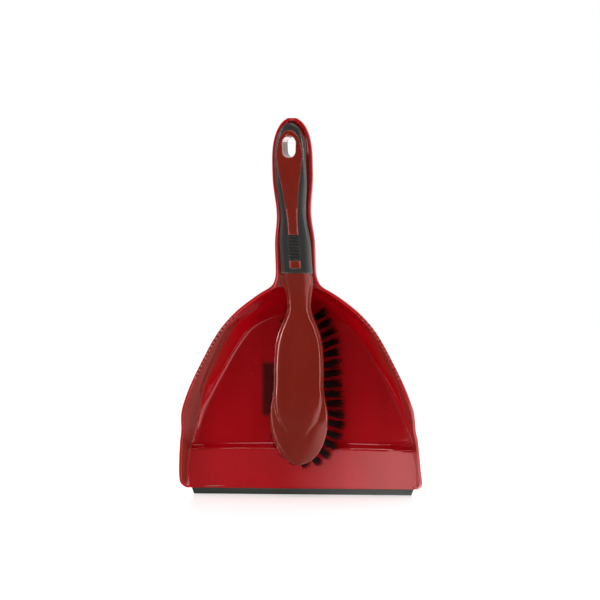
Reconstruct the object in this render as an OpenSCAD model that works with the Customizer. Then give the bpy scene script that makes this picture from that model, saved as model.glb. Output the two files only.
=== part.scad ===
// Dustpan with a hand brush nested in it, standing upright on the rubber lip.
// Z runs up from the lip towards the handles, -Y points out of the open side, and X runs across.
// The flat underside of the scoop is the plane y = 0, so a height out of the pan is -y.

/* [Dustpan] */
// Overall width across the two side walls
pan_w = 216.5; // [212:0.5:220]
// Overall length from the lip's edge to the end of the handle
pan_l = 331.5; // [329:0.5:334]
// Height of the side walls above the underside
wall_h = 43; // [40:1:46]
// Height of the low front wings of the side walls
wing_h = 28; // [24:1:31]
// Thickness of the moulding
wall_t = 2.5; // [2:0.1:2.8]
// Width of the rounded bead along the rim
bead_w = 2.6; // [2.2:0.1:3]
// Height of the crease that keeps the dust in
crease_h = 8; // [6:0.5:8.5]
// Distance of the crease from the lip's edge
crease_z = 38.5; // [34:0.5:42]

/* [Handle] */
// Width of the pan's channel handle at its widest
handle_w = 35.4; // [35:0.2:37]
// Width of the pan's channel handle at its waist
waist_w = 30; // [29.6:0.2:31]
// How far the rim climbs from the scoop to the end of the handle
handle_rise = 33; // [31:1:35]
// Depth of the channel that the brush handle lies in
channel_d = 14; // [14:0.5:15]

/* [Hang hole] */
// Width of the oval hang hole
hole_w = 11.4; // [9:0.2:12]
// Length of the oval hang hole
hole_l = 18; // [15:0.5:19]
// Distance of the hang hole from the lip's edge
hole_z = 306.5; // [304:0.5:308]

/* [Comb] */
// Number of comb notches in each side of the rim
comb_count = 16; // [8:1:18]
// Depth of a comb notch
comb_depth = 2; // [1:0.2:2.4]

/* [Rubber lip] */
// Height of the rubber strip along the front edge
lip_h = 5.3; // [4.5:0.1:6]
// Width of the rubber strip
lip_w = 198; // [188:1:198]

/* [Brush] */
// Width of the brush head at its widest
head_w = 53.5; // [52:0.5:56]
// Height of the bristle face above the pan's underside
face_h = 38; // [37:0.5:38.5]
// Height of the raised back above the bristle face
back_t = 12; // [11:0.5:12.5]
// Turn of the brush about its own length as it lies in the pan, in degrees
brush_roll = 8; // [0:1:8]
// Swing of the brush head to the side as it lies in the pan, in degrees
brush_swing = 0.4; // [0:0.1:0.4]

/* [Bristles] */
// Height of the bristle tips above the pan's underside
tip_h = 9; // [8.5:0.5:14]
// Height of the tips at the toe, which stand over the crease
toe_tip_h = 13.5; // [13:0.5:16]
// Distance between the tufts round the edge of the head
tuft_pitch = 8; // [7.5:0.1:10]
// How far the tips of the edge tufts stand out sideways
tuft_flare = 11; // [6:0.5:11.5]
// Radius of a tuft where it leaves the head
tuft_r = 2.1; // [1.8:0.1:2.2]
// Radius of a tuft at its tips
tip_r = 2.9; // [2.4:0.1:3.2]

/* [Hidden] */

lip_z = lip_h;              // where the moulding starts above the rubber
lip_t = 2.6;                // height of the sweep surface at the lip
strip_t = 2.9;              // height of the rubber strip's front edge above the underside
strip_under = 0.4;          // how far the rubber stands out below the underside
hold_t = 1.1;               // thickness of the tongue that the strip is pushed on to
hold_y = 1;                 // height of the tongue above the underside
hold_z = 2.6;               // how far the tongue reaches into the strip
hold_end = 3;               // the strip runs this far past each end of the tongue
shoulder_z = 198;           // where the scoop has narrowed into the handle
corner_z = 13;              // where the rounded front corner ends
corner_w = 7;               // how far the front corner is rounded in
cap_z = 296;                // where the rounded end of the handles starts
back_z = 160;               // where the floor starts to climb to the handle
step_l = 6;                 // length of the steep back of the crease
crease_bow = 2.2;           // how far the crease bows back in the middle
floor_t = 2.5;              // height of the floor
round_power = 2.2;          // fullness of the rounded end of the handles
end_over = 0.5;             // the rounded end is cut flat this far before it closes
clear = 0.1;                // gap between the soft grip and the hard core
grip_t = 2;                 // thickness of the soft grip
grip_side_gap = 0.9;        // room beside the grip in the channel
grip_proud = 7.5;           // how far the grip stands above the rim
grip_foot = 0.42;           // share of the grip's width that its flat underside takes
grip_z = 197;               // lower end of the soft grip
grip_end = pan_l - bead_w - 1.5;
head_z = 29;                // toe of the brush head
head_wide_z = 69;           // where the brush head is widest
tongue_z = 56;              // toe of the raised back
tongue_side_z = 92;         // where the raised back leaves the outline of the head
tongue_edge = 2.6;          // width of the rounded edge beside the raised back
heel_z = 155;               // last edge tuft on the handle side
tuft_depth = 4.5;           // depth of the tuft holes
tuft_inset = 5;             // edge tufts stand this far in from the outline
head_mid_z = 98;            // point that the edge tufts fan out from
label_box = [-35.6, 10.4, 70, 117];   // left, right, bottom and top of the label
label_t = 0.2;
label_ease = 0.3;           // the label's seat is this much wider on each side
comb_low_z = 108;           // first and last comb notch
comb_high_z = 160;
inner_x = 5;                // the inner tuft rows stand this far from the middle
inner_z = 53;               // first tuft of the inner rows
inner_pitch = 8.8;
toe_count = 5;              // edge tufts on each side that count as the toe
hole_ease = 0.3;            // the brush's hang hole is this much wider on each side
strip_sink = 5;             // thickness of the hard strip in the grip's back

// ---- curves ----

function lerp(a, b, t) = a + (b - a) * t;
function share(a, b, t) = (t - a) / (b - a);
function section_slope(k, i) = (k[i + 1][1] - k[i][1]) / (k[i + 1][0] - k[i][0]);

// Slope at a knot: the harmonic mean of its two sides, or 0 at a peak, so that nothing overshoots
function knot_slope(k, i) =
    i == 0 ? section_slope(k, 0)
    : i == len(k) - 1 ? section_slope(k, i - 1)
    : let (a = section_slope(k, i - 1), b = section_slope(k, i))
      a * b <= 0 ? 0 : 2 * a * b / (a + b);

function knot_before(k, z, i = 0) =
    i >= len(k) - 2 || z < k[i + 1][0] ? i : knot_before(k, z, i + 1);

// Height at z of the smooth curve through the knots [z, value]
function curve(k, z) =
    let (
        i = knot_before(k, z),
        l = k[i + 1][0] - k[i][0],
        t = max(0, min(1, (z - k[i][0]) / l)),
        u = 1 - t
    )
    k[i][1] * (1 + 2 * t) * u * u + k[i + 1][1] * (3 - 2 * t) * t * t
    + l * (knot_slope(k, i) * t * u * u - knot_slope(k, i + 1) * t * t * u);

// 1 up to a, then a rounded end that reaches 0 at b
function round_end(z, a, b, p = round_power) =
    z <= a ? 1 : z >= b ? 0 : pow(1 - pow((z - a) / (b - a), p), 1 / p);

// Three points that round the corner b between a and c, starting r away from it
function rounded(a, b, c, r) =
    let (
        ab = max(norm(a - b), 0.001),
        cb = max(norm(c - b), 0.001),
        p = lerp(b, a, min(0.45, r / ab)),
        q = lerp(b, c, min(0.45, r / cb))
    )
    [p, (p + q) / 4 + b / 2, q];

// Closed skin over rings of points that all have the same length
module skin(rings) {
    n = len(rings[0]);
    m = len(rings);
    polyhedron(
        points = [for (r = rings) each r],
        faces = [
            [for (i = [n - 1 : -1 : 0]) i],
            for (j = [0 : m - 2], i = [0 : n - 1])
                let (a = j * n + i, b = j * n + (i + 1) % n)
                each [[a, b, a + n], [b, b + n, a + n]],
            [for (i = [0 : n - 1]) (m - 1) * n + i]
        ]
    );
}

// A ring at z from the right half of its outline, given as [x, height] from bottom to top
function ring(z, half) = concat(
    [for (p = half) [p[0], -p[1], z]],
    [for (i = [len(half) - 1 : -1 : 0]) if (half[i][0] > 0) [-half[i][0], -half[i][1], z]]
);

// ---- dustpan ----

half_w = pan_w / 2;
end_h = wall_h + handle_rise;
rim_half_knots = [
    [corner_z, half_w], [49, half_w - 2.7], [58, half_w - 4.3], [70, half_w - 4.7],
    [88, half_w - 9.7], [123, half_w - 26], [144, half_w - 37.9], [162, half_w - 53.3],
    [179.5, half_w - 76.1], [186.5, handle_w / 2 + 3.1], [shoulder_z, handle_w / 2],
    [222, handle_w / 2], [248, waist_w / 2], [280, handle_w / 2], [cap_z, handle_w / 2]
];
rim_height_knots = [
    [lip_z, 4.5], [8.5, 10.5], [14, 17], [24, wing_h - 4], [50, wing_h + 1.5],
    [62, wall_h - 9], [75, wall_h - 3], [88, wall_h - 0.4], [110, wall_h], [150, wall_h],
    [172, wall_h + 1], [186, wall_h + 4], [shoulder_z, wall_h + 7], [248, end_h - 12.6],
    [285, end_h - 2.7], [300, end_h - 0.4], [316, end_h], [pan_l, end_h]
];
floor_half_knots = [
    [lip_z, half_w - 11], [9, half_w - 7.5], [17, half_w - 6.1], [34, half_w - 7.7],
    [61, half_w - 15.4], [82.7, half_w - 24], [109, half_w - 37.4], [135.5, half_w - 53],
    [148.7, half_w - 64], [157, 29], [162, 14], [167, 7], [174, 5], [pan_l, 5]
];
back_floor_knots = [
    [back_z, floor_t], [163.5, 3.4], [170, 10], [176, 19], [182, 28], [188, wall_h - 9.4],
    [shoulder_z, wall_h + 7 - channel_d]
];
// Where the wall changes from its sloping foot to its steep upper band, as shares of its run and height
band_run_knots = [
    [lip_z, 0.3], [69.5, 0.3], [96, 0.59], [122, 0.71], [162, 0.74], [171, 0.68], [182, 0.5],
    [shoulder_z, 0.55], [pan_l, 0.55]
];
band_height_knots = [
    [lip_z, 0.3], [55, 0.22], [69.5, 0.1], [96, 0.26], [122, 0.41], [162, 0.41], [171, 0.27],
    [182, 0.15], [shoulder_z, 0.2], [pan_l, 0.2]
];

function rim_half(z) =
    z < corner_z
        ? half_w - corner_w * (1 - sqrt(1 - pow((corner_z - z) / (corner_z - lip_z + 0.3), 2)))
    : z > cap_z ? handle_w / 2 * round_end(z, cap_z, pan_l + end_over)
    : curve(rim_half_knots, z);
function rim_height(z) = curve(rim_height_knots, z);

// How much thicker the slanting wall is when it is cut straight across
function slant(z) =
    z < corner_z || z > cap_z ? 1
    : min(2.2, norm([1, rim_half(z + 0.5) - rim_half(z - 0.5)]));
function rim_inner_half(z) =
    z > cap_z ? (handle_w / 2 - bead_w) * round_end(z, cap_z, pan_l - bead_w)
    : rim_half(z) - bead_w * slant(z);

// The sweep ramp, the crease and the flat floor behind it
function front_floor(z) =
    z < crease_z ? lerp(lip_t, crease_h, share(lip_z, crease_z, max(z, lip_z)))
    : z < crease_z + step_l
        ? lerp(crease_h, floor_t, (1 - cos(180 * share(crease_z, crease_z + step_l, z))) / 2)
    : floor_t;
function floor_height(x, z) =
    z < back_z ? front_floor(z - crease_bow * (1 - pow(x / half_w, 2)))
    : z < shoulder_z ? curve(back_floor_knots, z)
    : rim_height(z) - channel_d * round_end(z, cap_z + 6, pan_l - bead_w);
function under_height(x, z) =
    z > cap_z ? rim_height(z) - (channel_d + wall_t) * round_end(z, cap_z, pan_l + end_over)
    : let (climb = floor_height(x, z + 0.4) - floor_height(x, z - 0.4))
      max(0, floor_height(x, z) - wall_t * norm([1, climb / 0.8]));

// A place just inside the outline: a fixed gap where it is wide, and a share of it where it is narrow
function within(out, gap, part) = max(out - gap, out * part);

// Right half of the moulding's section at z, from the middle of the underside out and back in
function pan_half(z) =
    let (
        out = rim_half(z),
        rim = rim_height(z),
        inner = max(min(rim_inner_half(z), within(out, 1, 0.8)), out * 0.3),
        foot = min(floor_half(z), max(inner - 3, inner * 0.75)),
        foot_h = min(floor_height(foot, z), rim - shallow(z)),
        band = [lerp(foot, inner, curve(band_run_knots, z)), lerp(foot_h, rim, curve(band_height_knots, z))],
        skin_x = wall_t * slant(z),
        low = min(under_height(foot, z), foot_h - 0.3),
        drop = min(4, (rim - low) * 0.4),
        heel = [min(foot + skin_x * 0.45, within(out, 2, 0.8)), low],
        knee = [min(band[0] + skin_x, within(out, 0.8, 0.93)), max(band[1] - 1.2, low + 0.3)],
        bead_low = [out, rim - drop],
        bead_in = [min(out - 0.3, max(inner + skin_x * 0.85, knee[0] + 0.1)), rim - drop - 0.3],
        rim_out = [out, rim],
        rim_in = [inner, rim],
        foot_in = [foot, foot_h]
    )
    concat(
        [for (t = [0, 0.25, 0.5, 0.75]) [foot * t, min(under_height(foot * t, z), rim - 0.9)]],
        rounded([foot * 0.75, low], heel, knee, 4),
        rounded(heel, knee, bead_in, 4),
        [bead_in, bead_low],
        rounded(bead_low, rim_out, rim_in, bead_w / 2),
        rounded(rim_out, rim_in, band, bead_w / 2),
        rounded(rim_in, band, foot_in, 3),
        rounded(band, foot_in, [foot * 0.75, foot_h], 3),
        [for (t = [0.75, 0.5, 0.25, 0]) [foot * t, min(floor_height(foot * t, z), rim - shallow(z))]]
    );
function floor_half(z) = curve(floor_half_knots, z);

// Least depth of the channel, which runs out before the rounded end of the handle
function shallow(z) = z > pan_l - bead_w ? 0.02 : 0.6;

pan_stations = concat(
    [for (t = [0 : 11 : 77]) lerp(corner_z, lip_z, cos(t))],
    [for (z = [corner_z : 5 : crease_z - 1]) z],
    [for (z = [crease_z : 1.25 : crease_z + 10]) z],
    [for (z = [crease_z + 14 : 6 : 140]) z],
    [for (z = [142 : 3 : shoulder_z]) z],
    [for (z = [shoulder_z + 2 : 7 : cap_z - 4]) z],
    [for (t = [0 : 12 : 84]) lerp(cap_z, pan_l, sin(t))],
    [pan_l]
);

module hang_hole(w, l) {
    translate([0, 1, hole_z])
    rotate([90, 0, 0])
    linear_extrude(end_h + 20)
    union() {
        square([w, l - w], center = true);
        translate([0, (l - w) / 2]) circle(d = w, $fn = 32);
        translate([0, (w - l) / 2]) circle(d = w, $fn = 32);
    }
}

// Comb notches along both sides of the rim, square to its edge
module comb() {
    for (side = [-1, 1], i = [0 : comb_count - 1]) {
        z = lerp(comb_low_z, comb_high_z, i / (comb_count - 1));
        lean = atan(rim_half(z + 1) - rim_half(z - 1)) / 2;
        hull()
        for (deep = [0, 1])
        translate([side * (rim_half(z) + 2.1), comb_depth * deep - rim_height(z) - 1, z])
        rotate([0, side * lean, 0])
        cube([9, comb_depth, 1.8 - 0.8 * deep], center = true);
    }
}

module dustpan_body() {
    color("firebrick")
    difference() {
        union() {
            skin([for (z = pan_stations) ring(z, pan_half(z))]);
            // tongue that the rubber strip is pushed on to
            translate([hold_end - lip_w / 2, -hold_y - hold_t, lip_h - hold_z])
            cube([lip_w - 2 * hold_end, hold_t, hold_z + 2.4]);
        }
        comb();
        hang_hole(hole_w, hole_l);
        // shallow seat for the label
        translate([label_box[0] - label_ease, -label_t - clear, label_box[2] - label_ease])
        cube([
            label_box[1] - label_box[0] + 2 * label_ease, 1,
            label_box[3] - label_box[2] + 2 * label_ease
        ]);
    }
}

module rubber_lip() {
    color("#20241f")
    difference() {
        intersection() {
            rotate([0, 90, 0])
            linear_extrude(lip_w, center = true)
            polygon([
                [0, strip_under], [0, 0.7 - strip_t], [-1, -strip_t], [0.05 - lip_h, -strip_t],
                [0.05 - lip_h, strip_under]
            ]);
            rotate([90, 0, 0])
            linear_extrude(10, center = true)
            polygon([
                [-lip_w / 2 + 2, 0], [lip_w / 2 - 2, 0], [lip_w / 2, lip_h], [-lip_w / 2, lip_h]
            ]);
        }
        translate([hold_end - clear - lip_w / 2, -hold_y - hold_t - clear / 2, lip_h - hold_z - clear])
        cube([lip_w - 2 * (hold_end - clear), hold_t + clear, hold_z + 2.4]);
    }
}

module underside_label() {
    color("dimgray")
    translate([label_box[0], -label_t - 0.05, label_box[2]])
    cube([label_box[1] - label_box[0], label_t, label_box[3] - label_box[2]]);
}

// ---- brush ----

// Puts the brush as it lies in the pan: rolled about its own length and swung to one side
module nested() {
    hand_h = rim_height(hole_z) - 6;
    fall = atan((hand_h - face_h - 5) / (hole_z - head_wide_z));
    pivot = [0, -hand_h, hole_z];
    translate(pivot)
    rotate([0, -brush_swing, 0])
    rotate(a = -brush_roll, v = [0, -sin(fall), cos(fall)])
    translate(-pivot)
    children();
}

function grip_half(z) =
    z > cap_z
        ? (handle_w / 2 - bead_w - grip_side_gap) * round_end(z, cap_z, grip_end)
        : rim_half(z) - bead_w - grip_side_gap;
function grip_top(z) = rim_height(z) + grip_proud - 4 * (1 - round_end(z, cap_z + 6, grip_end));
function grip_low(z) =
    rim_height(z) - channel_d + 2.2 + (channel_d - 2.7) * (1 - round_end(z, cap_z + 4, grip_end));

head_half_knots = [
    [head_wide_z, head_w / 2], [76, head_w / 2 - 0.3], [90, head_w / 2 - 3.4],
    [99, head_w / 2 - 4.2], [112, head_w / 2 - 4.1], [125, head_w / 2 - 4.6],
    [136, head_w / 2 - 5.8], [150, head_w / 2 - 9.9], [160, 12.2], [167, 10.6], [176, 11.3],
    [186, 13.2], [191, 13.8], [grip_z, 13], [206, 12.4]
];
function head_half(z) =
    z < head_wide_z ? head_w / 2 * sqrt(max(0, 1 - pow(share(head_wide_z, head_z, z), 2)))
    : curve(head_half_knots, z);

back_h = face_h + back_t;
// Middle of the lower tier of the back, and how far the raised back stands above it
tier_knots = [
    [head_z, face_h + 4.2], [32, back_h - 6.6], [38, back_h - 4.8], [50, back_h - 3.4],
    [70, back_h - 3], [150, back_h - 3], [168, back_h - 2.8], [182, back_h - 1.2],
    [grip_z, wall_h + 4 + grip_proud - 0.6], [206, grip_top(206) - 3.6]
];
rise_knots = [[head_z, 0], [tongue_z, 0.1], [62, 1.3], [72, 2.3], [95, 3], [206, 3]];
// Width of the flat underside as a share of the head's width, narrow where the neck enters the channel
face_width_knots = [[head_z, 0.94], [162, 0.94], [188, grip_foot], [206, grip_foot]];
// Where the head is widest, as a share of its thickness
side_share_knots = [[head_z, 0.45], [162, 0.45], [186, 0.75], [206, 0.75]];
plate_low_knots = [
    [head_z, face_h + 1.2], [34, face_h], [180, face_h], [206, grip_low(206) + 0.6]
];

// Right half of a bar's section: half width, bottom, top, and how much of the width its flat foot takes
function bar_half(w, low, top, foot) =
    let (sole = w * foot, side_h = lerp(low, top, 0.78), brow = [w * 0.84, top - 0.5])
    concat(
        [[0, low], [sole * 0.6, low]],
        [
            for (t = [0 : 0.2 : 0.85])
                [lerp(sole, w, 0.6 * t + 0.4 * sin(90 * t)), lerp(low, side_h, (t + 1 - cos(90 * t)) / 2)]
        ],
        rounded([lerp(sole, w, 0.95), lerp(low, side_h, 0.8)], [w, side_h], brow, 1),
        rounded([w, side_h], brow, [w * 0.4, top - 0.1], 3),
        [[w * 0.45, top - 0.12], [0, top]]
    );

head_stations = concat(
    [for (t = [86 : -8 : 6]) lerp(head_wide_z, head_z, sin(t))],
    [for (z = [head_wide_z : 5 : 142]) z],
    [for (z = [147 : 4.5 : 206]) z]
);

// Half width of the raised back, which follows the outline and ends in a rounded toe
function tongue_half(z) =
    z >= tongue_side_z ? head_half(z) - tongue_edge
    : max(head_half(z) * 0.25, (head_half(tongue_side_z) - tongue_edge)
        * round_end(tongue_side_z - z, 0, tongue_side_z - tongue_z, 2.1));

// A point of the crowned back, which is flat in the middle and falls by drop at the side
function crowned(x, side_x, mid, drop) = [x, mid - drop * pow(x / side_x, 3)];

// Right half of the head's section at z, from the middle of the bristle face round to the back
function head_section(z) =
    let (
        w = head_half(z),
        low = curve(plate_low_knots, z),
        mid = curve(tier_knots, z),
        rise = curve(rise_knots, z),
        drop = min(2.6, (mid - low) * 0.5),
        t = tongue_half(z),
        foot_x = min(t + 1.4, lerp(t, w, 0.5)),
        side_x = lerp(foot_x, w, 0.8),
        face_edge = [w * curve(face_width_knots, z), low],
        side = [w, lerp(low, mid, curve(side_share_knots, z))],
        shoulder = [side_x, mid - drop],
        dome = [for (k = [0.66, 0.33]) crowned(lerp(foot_x, side_x, k), side_x, mid, drop)],
        foot = crowned(foot_x, side_x, mid, drop),
        lip = crowned(t, side_x, mid + rise * 0.85, drop),
        top = [for (k = [0.75, 0.4, 0]) crowned(t * k, side_x, mid + rise, drop)]
    )
    concat(
        [[0, low], [face_edge[0] * 0.5, low]],
        rounded([face_edge[0] * 0.5, low], face_edge, side, w * 0.1),
        rounded(face_edge, side, shoulder, 4),
        rounded(side, shoulder, dome[0], 1.5),
        dome,
        rounded(dome[1], foot, lip, 0.8),
        rounded(foot, lip, top[0], 1.6),
        top
    );

module head_shape() {
    skin([for (z = head_stations) ring(z, head_section(z))]);
}

handle_stations = concat(
    [for (z = [grip_z : 5 : cap_z - 4]) z],
    [for (t = [0 : 9 : 81]) lerp(cap_z, grip_end, sin(t))],
    [grip_end - 0.1]
);

// The handle's outer form, or a smaller one inside it
function grip_ring(z, inset) =
    let (
        w = max(grip_half(z) - inset, 0.3),
        top = max(grip_top(z) - inset, grip_low(z) + inset + 0.3)
    )
    ring(z, bar_half(w, grip_low(z) + min(inset, 2), top, grip_foot));

module handle_form(inset) {
    skin([for (z = handle_stations) if (grip_half(z) > inset + 0.2) grip_ring(z, inset)]);
}

// Outline of the hard red strip that shows through the soft grip: a drop round the hang hole,
// a stem that narrows towards the ribs, and a short piece below them
stem_knots = [[208, 4.6], [232, 4.4], [246, 4.8], [264, 6.6], [281, 9.2], [300, 11.7], [322, 1]];
drop_z = 300;
drop_half = 11.5;
drop_l = 21;
short_half = 5;
rib_low_z = 208;
rib_high_z = 230.5;

module strip_outline(shrink) {
    stem = [for (t = [0 : 0.05 : 1]) lerp(rib_high_z + shrink, drop_z - 2, t)];
    short_z = grip_z + 4.5;
    polygon(concat(
        [for (z = stem) [curve(stem_knots, z) - shrink, z]],
        [for (t = [0 : 12 : 180]) [(drop_half - shrink) * cos(t), drop_z + (drop_l - shrink) * sin(t)]],
        [for (i = [len(stem) - 1 : -1 : 0]) [shrink - curve(stem_knots, stem[i]), stem[i]]]
    ));
    translate([shrink - short_half, short_z + shrink])
    square([2 * (short_half - shrink), rib_low_z - short_z - 2 * shrink]);
}

module strip_window(shrink) {
    translate([0, -30, 0]) rotate([90, 0, 0]) linear_extrude(70) strip_outline(shrink);
}

module brush_core() {
    head_shape();
    handle_form(grip_t + clear);
    intersection() {
        handle_form(0.15);
        strip_window(clear);
        upper_half(strip_sink);
    }
}

// Everything on the back side of the handle's middle
module upper_half(down) {
    skin([
        for (z = [grip_z - 2, 222, 248, 285, cap_z, pan_l])
            let (mid = rim_height(z) - down)
            [[-30, -mid, z], [30, -mid, z], [30, -mid - 40, z], [-30, -mid - 40, z]]
    ]);
}

// ---- tufts ----

// Inset outline of the head from the heel down the right side and round to the toe
edge_line = [
    for (z = [heel_z : -1 : head_wide_z]) [head_half(z) - tuft_inset, z],
    for (t = [2 : 2 : 90])
        [(head_w / 2 - tuft_inset) * cos(t), lerp(head_wide_z, head_z + tuft_inset + 3, sin(t))]
];
edge_run = [
    for (i = 0, s = 0; i < len(edge_line);
         s = s + (i + 1 < len(edge_line) ? norm(edge_line[i + 1] - edge_line[i]) : 0), i = i + 1)
        s
];
edge_length = edge_run[len(edge_run) - 1];
edge_count = floor(edge_length / tuft_pitch);

function run_index(s, i = 0) = i >= len(edge_run) - 2 || s < edge_run[i + 1] ? i : run_index(s, i + 1);

// Foot of edge tuft number i, counted from the toe, and the way it fans out
function edge_foot(i) =
    let (s = edge_length - i * edge_length / edge_count, j = run_index(s))
    lerp(edge_line[j], edge_line[j + 1], (s - edge_run[j]) / (edge_run[j + 1] - edge_run[j]));
function edge_way(i) =
    let (
        foot = edge_foot(i),
        j = run_index(edge_length - i * edge_length / edge_count),
        along = edge_line[j + 1] - edge_line[j],
        square_to = [-along[1], along[0]] / norm(along),
        from_mid = (foot - [0, head_mid_z]) / norm(foot - [0, head_mid_z])
    )
    (square_to + 0.7 * from_mid) / norm(square_to + 0.7 * from_mid);

// Each tuft as [foot x, foot z, lean x, lean z, tip height], where the lean is at the tips
right_edge = [
    for (i = [toe_count : edge_count])
        let (f = edge_foot(i), w = edge_way(i) * tuft_flare, heel = max(0, f[1] - heel_z + 18))
        [f[0], f[1], w[0], w[1], tip_h + heel * 0.35]
];
left_edge = [for (t = right_edge) [-t[0], t[1], -t[2], t[3], t[4]]];
toe_edge = [
    for (i = [1 - toe_count : toe_count - 1])
        let (f = edge_foot(abs(i)), w = edge_way(abs(i)) * tuft_flare, s = i < 0 ? -1 : 1)
        [s * f[0], f[1], s * w[0], w[1], toe_tip_h]
];
inner_rows = [
    for (side = [-1, 1], i = [0 : 10])
        [side * inner_x, inner_z + (i + (side > 0 ? 0 : 0.5)) * inner_pitch, side * 2.5, (i - 5) * 0.5, tip_h]
];

// Puts its children at a tuft's foot, with +Z down the tuft towards the tips
module at_tuft(t) {
    turn = atan2(t[3], t[2]);
    lean = atan(norm([t[2], t[3]]) / (face_h - t[4]));
    translate([t[0], -face_h, t[1]])
    rotate([-90, 0, 0])
    rotate([0, 0, -turn])
    rotate([0, lean, 0])
    children();
}

module tufts(list) {
    color("#17130f")
    nested()
    for (t = list) {
        long = norm([t[2], t[3], face_h - t[4]]);
        at_tuft(t) {
            translate([0, 0, 1.6 - tuft_depth]) cylinder(r = tuft_r, h = tuft_depth, $fn = 24);
            cylinder(r1 = tuft_r, r2 = tip_r, h = long, $fn = 24);
        }
    }
}

module brush_body() {
    color("brown")
    nested()
    difference() {
        brush_core();
        for (t = concat(right_edge, left_edge, toe_edge, inner_rows))
            at_tuft(t)
            hull() {
                translate([0, 0, -tuft_depth]) cylinder(r = tuft_r + 0.08, h = 1, $fn = 10);
                translate([0, 0, 3]) cylinder(r = tuft_r + 0.2, h = 1, $fn = 10);
            }
        hang_hole(hole_w + 2 * hole_ease, hole_l + 2 * hole_ease);
    }
}

module soft_grip() {
    groove_count = 8;
    groove_half = 4.4;
    groove_r = 0.95;
    color("#2b2b2a")
    nested()
    difference() {
        handle_form(0);
        handle_form(grip_t);
        head_shape();
        intersection() {
            strip_window(0);
            upper_half(strip_sink);
        }
        // grooves between the finger ribs
        for (i = [0 : groove_count]) {
            z = lerp(rib_low_z, rib_high_z, i / groove_count);
            hull()
            for (side = [-1, 1])
            translate([side * groove_half, -grip_top(z), z])
            sphere(r = groove_r, $fn = 10);
        }
        hang_hole(hole_w + 2 * hole_ease, hole_l + 2 * hole_ease);
    }
}

module tuft_anchors() {
    color("silver")
    nested()
    for (t = concat(right_edge, left_edge, toe_edge, inner_rows))
        at_tuft(t)
        translate([0, 0, -tuft_depth + 0.75])
        cube([3.8, 0.4, 1.3], center = true);
}

dustpan_body();
rubber_lip();
underside_label();
brush_body();
soft_grip();
tufts(right_edge);  // edge_tufts_right
tufts(left_edge);  // edge_tufts_left
tufts(toe_edge);  // toe_tufts
tufts(inner_rows);  // inner_tufts
tuft_anchors();
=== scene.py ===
import math
import random

import bmesh
import bpy
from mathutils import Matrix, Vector

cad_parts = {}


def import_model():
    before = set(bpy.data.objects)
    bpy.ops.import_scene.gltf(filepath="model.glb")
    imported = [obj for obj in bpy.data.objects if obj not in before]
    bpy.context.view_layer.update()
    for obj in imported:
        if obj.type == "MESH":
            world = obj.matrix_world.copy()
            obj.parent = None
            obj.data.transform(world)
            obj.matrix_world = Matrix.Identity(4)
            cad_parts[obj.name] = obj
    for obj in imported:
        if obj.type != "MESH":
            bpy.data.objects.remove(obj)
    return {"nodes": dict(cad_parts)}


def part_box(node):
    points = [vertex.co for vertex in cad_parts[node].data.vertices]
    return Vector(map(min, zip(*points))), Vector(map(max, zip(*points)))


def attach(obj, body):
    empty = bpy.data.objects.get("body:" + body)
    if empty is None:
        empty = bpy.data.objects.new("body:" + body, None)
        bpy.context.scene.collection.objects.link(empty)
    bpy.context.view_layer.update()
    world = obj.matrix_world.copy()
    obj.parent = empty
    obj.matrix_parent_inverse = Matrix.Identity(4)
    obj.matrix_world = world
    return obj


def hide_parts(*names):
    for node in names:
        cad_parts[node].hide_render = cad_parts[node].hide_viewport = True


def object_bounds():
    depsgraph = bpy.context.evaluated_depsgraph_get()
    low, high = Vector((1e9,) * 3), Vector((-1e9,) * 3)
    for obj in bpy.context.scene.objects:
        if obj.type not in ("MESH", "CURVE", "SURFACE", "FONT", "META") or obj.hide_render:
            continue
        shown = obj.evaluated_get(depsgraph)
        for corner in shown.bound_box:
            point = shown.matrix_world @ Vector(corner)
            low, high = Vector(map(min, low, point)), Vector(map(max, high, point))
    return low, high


# Metres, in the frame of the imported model: +Z up from the lip to the handles, -Y out of the open side.
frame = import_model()
cad_low, cad_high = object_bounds()
nodes = frame["nodes"]
MM = 0.001


# ---- materials ----

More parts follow.
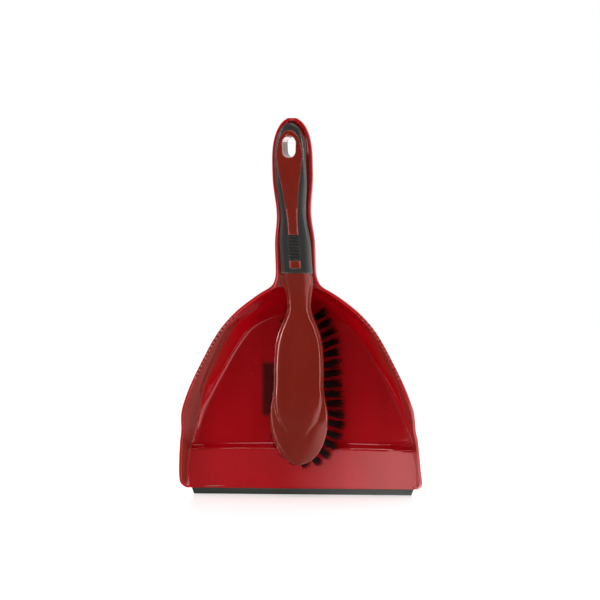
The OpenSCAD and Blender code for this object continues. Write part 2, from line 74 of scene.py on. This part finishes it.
class Look:
    """A node material. add() makes a node, sets it up and links any sockets among its inputs."""

    def __init__(self, name, tree=None):
        if tree is None:
            self.material = bpy.data.materials.new(name)
            self.material.use_nodes = True
            tree = self.material.node_tree
            self.shader = tree.nodes["Principled BSDF"]
        self.tree = tree

    def put(self, socket, value):
        if isinstance(value, bpy.types.NodeSocket):
            self.tree.links.new(value, socket)
        else:
            socket.default_value = value

    def add(self, kind, inputs=None, **settings):
        node = self.tree.nodes.new("ShaderNode" + kind)
        for name, value in settings.items():
            setattr(node, name, value)
        for name, value in (inputs or {}).items():
            self.put(node.inputs[name], value)
        return node.outputs

    def set(self, **inputs):
        for name, value in inputs.items():
            self.put(self.shader.inputs[name.replace("_", " ")], value)

    def place(self):
        """The point being shaded, in metres, in the object's own frame."""
        return self.add("TexCoord")["Object"]

    def noise(self, at, scale, detail=3.0, roughness=0.5):
        inputs = {"Vector": at, "Scale": scale, "Detail": detail, "Roughness": roughness}
        return self.add("TexNoise", inputs)["Fac"]

    def stretch(self, at, scale):
        return self.add("Mapping", {"Vector": at, "Scale": scale})["Vector"]

    def remap(self, value, low, high, to_low=0.0, to_high=1.0, soft=False):
        inputs = {"Value": value, "From Min": low, "From Max": high, "To Min": to_low, "To Max": to_high}
        return self.add("MapRange", inputs, interpolation_type="SMOOTHSTEP" if soft else "LINEAR")["Result"]

    def math(self, operation, a, b):
        return self.add("Math", {0: a, 1: b}, operation=operation)[0]

    def mix(self, share, a, b):
        node = self.tree.nodes.new("ShaderNodeMix")
        node.data_type = "RGBA"
        self.put(node.inputs["Factor"], share)
        self.put(node.inputs["A"], a)
        self.put(node.inputs["B"], b)
        return node.outputs["Result"]

    def bump(self, height, depth, strength=1.0):
        inputs = {"Height": height, "Distance": depth, "Strength": strength}
        return self.add("Bump", inputs)["Normal"]

    # pale convex edges: wear on the rubber parts, a painted highlight on the plastic ones
    def wear_and_highlight_edges(self, low=0.515, high=0.56):
        """1 on convex edges and 0 elsewhere."""
        return self.remap(self.add("NewGeometry")["Pointiness"], low, high, soft=True)


def rgb(r, g, b):
    return (r, g, b, 1.0)


def soft_box(look, at, low, high, edge):
    """1 inside the box in x and z, fading to 0 over the width edge."""
    axes = look.add("SeparateXYZ", {"Vector": at})
    share = 1.0
    for axis in ("X", "Z"):
        i = "XYZ".index(axis)
        rising = look.remap(axes[axis], low[i] - edge / 2, low[i] + edge / 2, soft=True)
        falling = look.remap(axes[axis], high[i] - edge / 2, high[i] + edge / 2, 1.0, 0.0, soft=True)
        share = look.math("MULTIPLY", share, look.math("MULTIPLY", rising, falling))
    return share


def pan_plastic():
    """Glossy deep red plastic, a little see-through; the label's shade through the floor is painted into
    its colour, as are a glow and reflections on walls and edges.
    """
    look = Look("pan_plastic")
    at = look.place()
    flow = look.noise(look.stretch(at, (9, 9, 3)), 4.0, 4.0)
    flakes = look.noise(at, 2600, 1.0)
    colour = look.mix(look.remap(flow, 0.35, 0.7), rgb(0.3, 0.0008, 0.003), rgb(0.36, 0.0012, 0.005))
    colour = look.mix(look.remap(flakes, 0.62, 0.75, 0, 0.25), colour, rgb(0.6, 0.004, 0.01))
    # painted highlight: convex edges and rim are painted pale, standing in for reflections along them
    colour = look.mix(look.wear_and_highlight_edges(0.505, 0.54), colour, rgb(0.3, 0.09, 0.075))
    # painted shade: the label's shade seen through the floor is painted dark into the colour
    low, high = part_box("underside_label")
    painted_label_shade = look.math("MULTIPLY", soft_box(look, at, low, high, edge=5 * MM), 0.87)
    colour = look.mix(painted_label_shade, colour, rgb(0.03, 0.005, 0.004))
    # painted light: an emission glow over the whole pan, stronger on the curved foot of the side walls,
    # stands in for light that has travelled through the plastic
    facing = look.add("SeparateXYZ", {"Vector": look.add("NewGeometry")["Normal"]})
    across = look.math("ABSOLUTE", facing["X"], 0)
    glowing_foot = look.math("MULTIPLY", look.remap(across, 0.3, 0.6, soft=True),
                     look.remap(facing["Y"], -0.25, -0.5, soft=True))
    # painted reflection: the steep upper band of the side walls is painted a duller brown, standing in for
    # the studio's reflections on it
    painted_reflection_band = look.math("MULTIPLY", look.remap(across, 0.6, 0.8, soft=True),
                      look.remap(facing["Y"], -0.6, -0.4, soft=True))
    colour = look.mix(painted_reflection_band, colour, rgb(0.2, 0.024, 0.018))
    glow = look.remap(glowing_foot, 0, 1, 0.12, 0.4)
    scuffs = look.noise(look.stretch(at, (60, 60, 900)), 1.0, 2.0)
    roughness = look.remap(look.noise(at, 35, 4.0), 0.3, 0.7, 0.22, 0.28)
    roughness = look.math("ADD", roughness, look.remap(scuffs, 0.68, 0.85, 0, 0.05))
    look.set(
        Base_Color=colour, Metallic=0.1, Roughness=roughness, Specular_IOR_Level=0.1,
        Coat_Weight=0.95, Coat_Roughness=0.06, Normal=look.bump(look.noise(at, 320, 2.0), 0.012 * MM),
        Emission_Color=colour, Emission_Strength=glow,
    )
    return look.material


def brush_plastic():
    """Glossy brownish red plastic with faint rub marks."""
    look = Look("brush_plastic")
    at = look.place()
    flow = look.noise(look.stretch(at, (14, 14, 4)), 3.0, 4.0)
    colour = look.mix(look.remap(flow, 0.35, 0.7), rgb(0.12, 0.0085, 0.0045), rgb(0.14, 0.011, 0.0065))
    # painted highlight: convex edges are painted pale, standing in for reflections along them
    colour = look.mix(look.wear_and_highlight_edges(0.508, 0.55), colour, rgb(0.3, 0.09, 0.075))
    rubs = look.noise(look.stretch(at, (900, 900, 70)), 1.0, 2.0)
    roughness = look.remap(look.noise(at, 50, 4.0), 0.3, 0.7, 0.17, 0.25)
    roughness = look.math("ADD", roughness, look.remap(rubs, 0.64, 0.8, 0, 0.1))
    look.set(
        Base_Color=colour, Roughness=roughness, Specular_Tint=rgb(1, 0.3, 0.25), Coat_Weight=0.35,
        Coat_Roughness=0.03, Normal=look.bump(look.noise(at, 420, 2.0), 0.02 * MM),
    )
    return look.material


def grip_rubber():
    """Dark soft-touch rubber with a fine leathery grain."""
    look = Look("grip_rubber")
    at = look.place()
    grain = look.add("TexVoronoi", {"Vector": at, "Scale": 1500}, feature="SMOOTH_F1")["Distance"]
    colour = look.mix(look.noise(at, 60, 4.0), rgb(0.014, 0.013, 0.012), rgb(0.026, 0.024, 0.022))
    colour = look.mix(look.wear_and_highlight_edges(), colour, rgb(0.09, 0.085, 0.08))
    look.set(
        Base_Color=colour, Roughness=look.remap(look.noise(at, 180, 3.0), 0.3, 0.7, 0.3, 0.42),
        Specular_IOR_Level=0.35, Coat_Weight=0.15, Coat_Roughness=0.15,
        Normal=look.bump(grain, 0.04 * MM),
    )
    return look.material


def lip_rubber():
    """Dark green-black rubber, drawn lengthwise and dusty along its edge."""
    look = Look("lip_rubber")
    at = look.place()
    streaks = look.noise(look.stretch(at, (25, 900, 900)), 1.0, 3.0)
    colour = look.mix(streaks, rgb(0.01, 0.014, 0.01), rgb(0.02, 0.026, 0.02))
    colour = look.mix(look.wear_and_highlight_edges(), colour, rgb(0.05, 0.054, 0.044))
    look.set(
        Base_Color=colour, Roughness=look.remap(look.noise(at, 90, 4.0), 0.3, 0.7, 0.42, 0.6),
        Normal=look.bump(streaks, 0.05 * MM),
    )
    return look.material


def bristle_fibre():
    """Near-black synthetic fibre, each strand a little different."""
    look = Look("bristle_fibre")
    at = look.place()
    strand = look.noise(look.stretch(at, (1400, 200, 1400)), 1.0, 1.0)
    colour = look.mix(strand, rgb(0.001, 0.0004, 0.0004), rgb(0.008, 0.003, 0.0025))
    look.set(Base_Color=colour, Roughness=look.remap(strand, 0.3, 0.7, 0.35, 0.5), Specular_IOR_Level=0.08)
    return look.material


def label_film():
    """Blank matt film with faint paper fibre."""
    look = Look("label_film")
    at = look.place()
    fibre = look.noise(look.stretch(at, (400, 400, 1600)), 1.0, 4.0)
    colour = look.mix(fibre, rgb(0.05, 0.047, 0.047), rgb(0.085, 0.08, 0.08))
    look.set(Base_Color=colour, Roughness=look.remap(fibre, 0.3, 0.7, 0.5, 0.65),
             Normal=look.bump(fibre, 0.01 * MM))
    return look.material


def anchor_wire():
    """Flattened steel wire."""
    look = Look("anchor_wire")
    at = look.place()
    drawn = look.noise(look.stretch(at, (3000, 3000, 300)), 1.0, 2.0)
    colour = look.mix(drawn, rgb(0.42, 0.42, 0.43), rgb(0.6, 0.6, 0.61))
    look.set(Base_Color=colour, Metallic=1.0, Roughness=look.remap(drawn, 0.3, 0.7, 0.25, 0.45))
    return look.material


# ---- pieces ----

def welded(node):
    """The node's mesh as a bmesh with its split vertices joined."""
    bm = bmesh.new()
    bm.from_mesh(nodes[node].data)
    bmesh.ops.remove_doubles(bm, verts=bm.verts, dist=0.002 * MM)
    return bm


def piece(name, bm, material, body, slot, *stands_for):
    mesh = bpy.data.meshes.new(name)
    bm.to_mesh(mesh)
    bm.free()
    obj = bpy.data.objects.new(name, mesh)
    bpy.context.scene.collection.objects.link(obj)
    mesh.materials.append(material)
    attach(obj, body)
    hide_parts(*stands_for)
    return obj


def moulded(node, material, body, slot, levels=2, sharp=38.0, bevel=0.0):
    """A rounded piece from a CAD node: facets become quads and are subdivided, with true edges kept."""
    bm = welded(node)
    bmesh.ops.join_triangles(
        bm, faces=bm.faces, angle_face_threshold=math.radians(30), angle_shape_threshold=math.radians(60),
        cmp_seam=False, cmp_sharp=False, cmp_uvs=False, cmp_vcols=False, cmp_materials=False,
    )
    crease = bm.edges.layers.float.new("crease_edge")
    for edge in bm.edges:
        if len(edge.link_faces) == 2 and edge.calc_face_angle(0) > math.radians(sharp):
            edge[crease] = 1.0
            edge.smooth = False
    for face in bm.faces:
        face.smooth = True
    obj = piece(node + "_surface", bm, material, body, slot, node)
    if bevel:
        eased = obj.modifiers.new("eased_edges", "BEVEL")
        eased.width = bevel
        eased.segments = 3
    if levels:
        rounding = obj.modifiers.new("rounding", "SUBSURF")
        rounding.levels = rounding.render_levels = levels
    return obj


def islands(bm):
    """The places of the vertices of each separate solid, in the same order on every run."""
    left = set(bm.verts)
    found = []
    while left:
        stack = [next(iter(left))]
        group = set(stack)
        while stack:
            for edge in stack.pop().link_edges:
                for v in edge.verts:
                    if v not in group:
                        group.add(v)
                        stack.append(v)
        left -= group
        found.append(sorted((v.co.copy() for v in group), key=tuple))
    return sorted(found, key=lambda g: tuple(round(c, 5) for c in sum(g, Vector()) / len(g)))


def tuft_axis(points):
    """Root, tip and radius at both ends of a tuft's cone. The root is the end nearest the brush's back."""
    middle = sum(points, Vector()) / len(points)
    far = max(points, key=lambda p: (p - middle).length)
    way = (far - middle).normalized()
    for _ in range(12):
        way = sum(((p - middle) * (p - middle).dot(way) for p in points), Vector()).normalized()
    if way.y < 0:
        way = -way
    along = [(p - middle).dot(way) for p in points]
    low, high = min(along), max(along)

    def ring(s):
        near = [p for p, a in zip(points, along) if abs(a - s) < 0.3 * MM]
        centre = sum(near, Vector()) / len(near)
        return centre, max((p - centre).length for p in near)

    root, root_r = ring(low)
    tip, tip_r = ring(high)
    return root, tip, root_r, tip_r


def strand(bm, points, thick):
    """A three-sided fibre through the points, drawn out to a fine tip."""
    rings = []
    for i, p in enumerate(points):
        ahead = points[min(i + 1, len(points) - 1)] - points[max(i - 1, 0)]
        side = ahead.cross(Vector((1, 0.3, 0.2))).normalized()
        up = ahead.cross(side).normalized()
        r = thick / 2 * (1 - 0.55 * (i / (len(points) - 1)) ** 3)
        turns = [math.tau * k / 3 for k in range(3)]
        rings.append([bm.verts.new(p + (side * math.cos(t) + up * math.sin(t)) * r) for t in turns])
    for a, b in zip(rings, rings[1:]):
        for k in range(3):
            bm.faces.new([a[k], a[(k + 1) % 3], b[(k + 1) % 3], b[k]]).smooth = True
    bm.faces.new(reversed(rings[0]))
    bm.faces.new(rings[-1])


def bristles(node, material, body, slot):
    """Loose fibres for every tuft of a CAD node, a few of them straying out of their bundle."""
    per_tuft = 110
    thick = 0.4 * MM
    splay = 1.3                 # the tips spread to this share of the cone's end
    stray_share = 0.16
    stray_spread = (1.2, 2.1)   # and this much further for the strays
    length_share = (0.84, 1.05)
    sway_size = 0.6 * MM
    packing = 0.8               # the roots fill this share of the hole
    random.seed(node)
    source = welded(node)
    tufts = [tuft_axis(points) for points in islands(source)]
    source.free()
    bm = bmesh.new()
    for root, tip, root_r, tip_r in tufts:
        way = (tip - root).normalized()
        side = way.cross(Vector((0, 0, 1))).normalized()
        up = way.cross(side).normalized()
        long = (tip - root).length
        for _ in range(per_tuft):
            turn = random.uniform(0, math.tau)
            out = math.sqrt(random.random())
            stray = random.random() < stray_share
            off = side * math.cos(turn) + up * math.sin(turn)
            spread = tip_r * splay * (random.uniform(*stray_spread) if stray else 1.0) * out
            reach = long * random.uniform(*length_share)
            sway = (side * random.gauss(0, 1) + up * random.gauss(0, 1)) * sway_size
            points = []
            for s in (0, 0.3, 0.55, 0.8, 1):
                wave = sway * math.sin(math.pi * s * 1.5)
                spreading = root_r * packing * out * (1 - s) + spread * s ** 1.3
                points.append(root + way * reach * s + off * spreading + wave)
            strand(bm, points, thick)
    return piece(node.replace("tufts", "bristles"), bm, material, body, slot, node)


pan_red = pan_plastic()
brush_red = brush_plastic()
grip_dark = grip_rubber()
lip_dark = lip_rubber()
fibre_dark = bristle_fibre()
film = label_film()
wire = anchor_wire()

moulded("dustpan_body", pan_red, "dustpan", "pan_plastic")
moulded("rubber_lip", lip_dark, "dustpan", "lip_rubber", levels=0, bevel=0.35 * MM)
moulded("underside_label", film, "dustpan", "label_film", levels=0, bevel=0.04 * MM)
moulded("brush_body", brush_red, "brush", "brush_plastic")
moulded("soft_grip", grip_dark, "brush", "grip_rubber")
moulded("tuft_anchors", wire, "brush", "anchor_wire", levels=0)
for tufts_node in ("edge_tufts_right", "edge_tufts_left", "toe_tufts", "inner_tufts"):
    bristles(tufts_node, fibre_dark, "brush", "bristles")


# ---- studio ----

def floor(size=8.0):
    """A plain white floor under the lip. Reflections see it dark, with a light patch at the front right."""
    bm = bmesh.new()
    bmesh.ops.create_grid(bm, x_segments=1, y_segments=1, size=size / 2)
    mesh = bpy.data.meshes.new("studio_floor")
    bm.to_mesh(mesh)
    bm.free()
    obj = bpy.data.objects.new("studio_floor", mesh)
    obj.location.z = cad_low.z - 0.02 * MM
    bpy.context.scene.collection.objects.link(obj)
    look = Look("studio_floor")
    grain = look.noise(look.place(), 3.0, 2.0)
    at = look.add("SeparateXYZ", {"Vector": look.place()})
    mirrored = look.math("MULTIPLY", look.remap(at["X"], -0.03, 0.09, 0.15, 2.2, soft=True),
                         look.remap(at["Y"], -0.6, -0.3, soft=True))
    glossy = look.add("LightPath")["Is Glossy Ray"]
    glow = look.mix(glossy, rgb(0.35, 0.35, 0.35),
                    look.add("CombineColor", {"Red": mirrored, "Green": mirrored, "Blue": mirrored})[0])
    white = look.mix(grain, rgb(0.93, 0.93, 0.93), rgb(0.96, 0.96, 0.96))
    look.set(
        Base_Color=look.mix(glossy, white, rgb(0.02, 0.02, 0.02)), Roughness=0.2,
        Specular_IOR_Level=0.3, Emission_Color=glow, Emission_Strength=1.0,
    )
    mesh.materials.append(look.material)


def softbox(name, at, aim, width, height, power):
    data = bpy.data.lights.new(name, "AREA")
    data.shape = "RECTANGLE"
    data.size, data.size_y, data.energy = width, height, power
    obj = bpy.data.objects.new(name, data)
    obj.location = at
    obj.rotation_mode = "QUATERNION"
    obj.rotation_quaternion = (Vector(aim) - Vector(at)).to_track_quat("-Z", "Y")
    bpy.context.scene.collection.objects.link(obj)


def world():
    """White for the camera, an even glow for matt surfaces, and for reflections a room dark in front."""
    data = bpy.data.worlds.new("studio")
    bpy.context.scene.world = data
    data.use_nodes = True
    data.cycles.sampling_method = "NONE"
    look = Look("studio", data.node_tree)
    path = look.add("LightPath")
    way = look.add("SeparateXYZ", {"Vector": look.add("TexCoord")["Generated"]})
    room = look.remap(way["Y"], -0.6, 0.5, 0.005, 0.8, soft=True)
    light = look.mix(path["Is Glossy Ray"], rgb(0.8, 0.8, 0.8),
                     look.add("CombineColor", {"Red": room, "Green": room, "Blue": room})[0])
    light = look.mix(path["Is Camera Ray"], light, rgb(1, 1, 1))
    look.put(data.node_tree.nodes["Background"].inputs["Color"], light)


def camera(aim, azimuth=7.0, elevation=1.5, distance=3.2, width=0.5255):
    """A long lens at about the middle of the pan's height; width metres fill the picture at the object."""
    data = bpy.data.cameras.new("camera")
    data.lens = data.sensor_width * distance / width
    obj = bpy.data.objects.new("camera", data)
    a, e = math.radians(azimuth), math.radians(elevation)
    back = Vector((math.sin(a) * math.cos(e), -math.cos(a) * math.cos(e), math.sin(e)))
    obj.location = aim + back * distance
    obj.rotation_mode = "QUATERNION"
    obj.rotation_quaternion = (-back).to_track_quat("-Z", "Y")
    bpy.context.scene.collection.objects.link(obj)
    bpy.context.scene.camera = obj


middle = (cad_low + cad_high) / 2
floor()
world()
softbox("left_softbox", (-1.2, -0.55, 0.5), middle, 0.12, 1.0, 9)
softbox("right_softbox", (1.25, -0.45, 0.45), middle, 0.08, 1.0, 8)
softbox("top_softbox", (0.1, -0.6, 1.4), middle, 0.9, 0.3, 5)
camera(Vector((2 * MM, -35 * MM, cad_low.z + 173.2 * MM)))
bpy.context.scene.view_settings.view_transform = "Standard"
